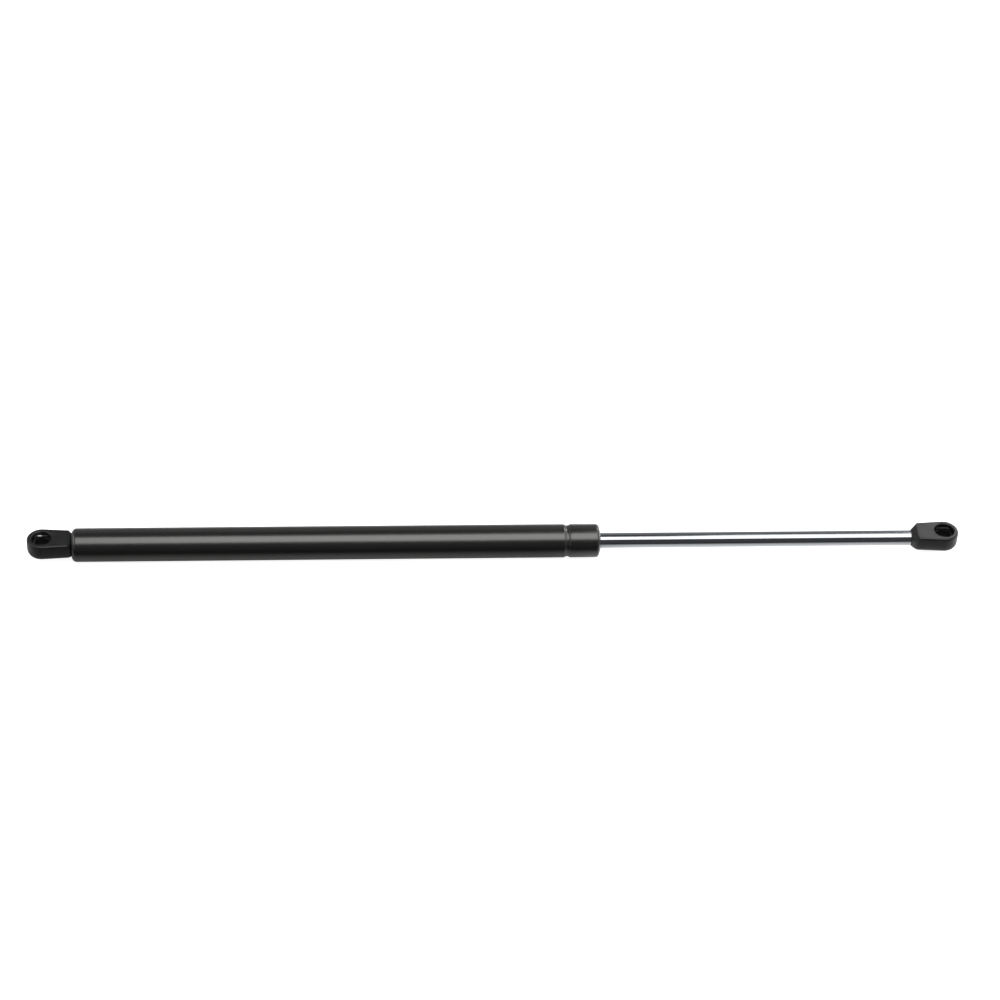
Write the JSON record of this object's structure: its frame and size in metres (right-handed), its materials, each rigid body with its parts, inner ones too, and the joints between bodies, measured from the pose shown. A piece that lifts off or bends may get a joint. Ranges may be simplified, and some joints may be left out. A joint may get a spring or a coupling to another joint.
{
  "type": "gas strut stay",
  "caption": "Gas strut stay: black tube, chromed rod that slides and turns in it, and a plastic ball socket with a spring clip at each end.",
  "frame": {"origin": "ball centre of the socket on the tube, on the strut's axis", "axes": "+X along the strut towards the rod's end, +Z out of both sockets' mouths, +Y across"},
  "size_m": [0.6094, 0.022, 0.022],
  "materials": {
    "tube_paint": "semi-gloss black paint over drawn steel",
    "rod_chrome": "ground and hard-chromed, with fine lengthwise polish",
    "socket_nylon": "black glass-filled nylon, lightly grained",
    "spring_wire": "bright spring wire",
    "zinc_steel": "turned steel, zinc plated",
    "seal_rubber": "nitrile rubber",
    "wiper_rubber": "polyurethane scraper rubber",
    "piston_metal": "die-cast alloy, as cast",
    "ring_plastic": "filled PTFE",
    "liner_bronze": "bronze-backed sliding liner",
    "guide_plastic": "glass-filled nylon",
    "buffer_plastic": "polyurethane"
  },
  "bodies": {
    "cylinder": {"cylinder_tube": "tube_paint", "end_stud": "zinc_steel", "end_plug_seal": "seal_rubber", "tube_end_fitting": "socket_nylon", "seal_support_washer": "zinc_steel", "rod_seal": "seal_rubber", "rod_guide": "guide_plastic", "guide_ring_seal": "seal_rubber", "guide_liner": "liner_bronze", "end_cover_washer": "zinc_steel", "rod_wiper": "wiper_rubber"},
    "tube_clip": {"tube_socket_clip": "spring_wire"},
    "ring": {"piston_ring": "ring_plastic"},
    "rod": {"piston_rod": "rod_chrome", "stop_buffer": "buffer_plastic", "piston_backing_washer": "zinc_steel", "piston_body": "piston_metal", "piston_valve_disc": "zinc_steel", "piston_rivet_washer": "zinc_steel", "rod_end_fitting": "socket_nylon"},
    "rod_clip": {"rod_socket_clip": "spring_wire"}
  },
  "joints": [
    {"name": "rod_slide", "type": "slide", "parent": "cylinder", "child": "ring", "axis": [1, 0, 0], "range_m": [-0.2, 0], "stiffness_N_per_m": 500, "springref_m": 0.7},
    {"name": "rod_spin", "type": "hinge", "parent": "ring", "child": "rod", "pos_m": [0.5904, 0, 0], "axis": [1, 0, 0], "continuous": true},
    {"name": "tube_clip_slide", "type": "slide", "parent": "cylinder", "child": "tube_clip", "axis": [1, 0, 0], "range_m": [-0.0015, 0], "stiffness_N_per_m": 800, "springref_m": 0.001},
    {"name": "rod_clip_slide", "type": "slide", "parent": "rod", "child": "rod_clip", "axis": [1, 0, 0], "range_m": [0, 0.0015], "stiffness_N_per_m": 800, "springref_m": -0.001}
  ]
}
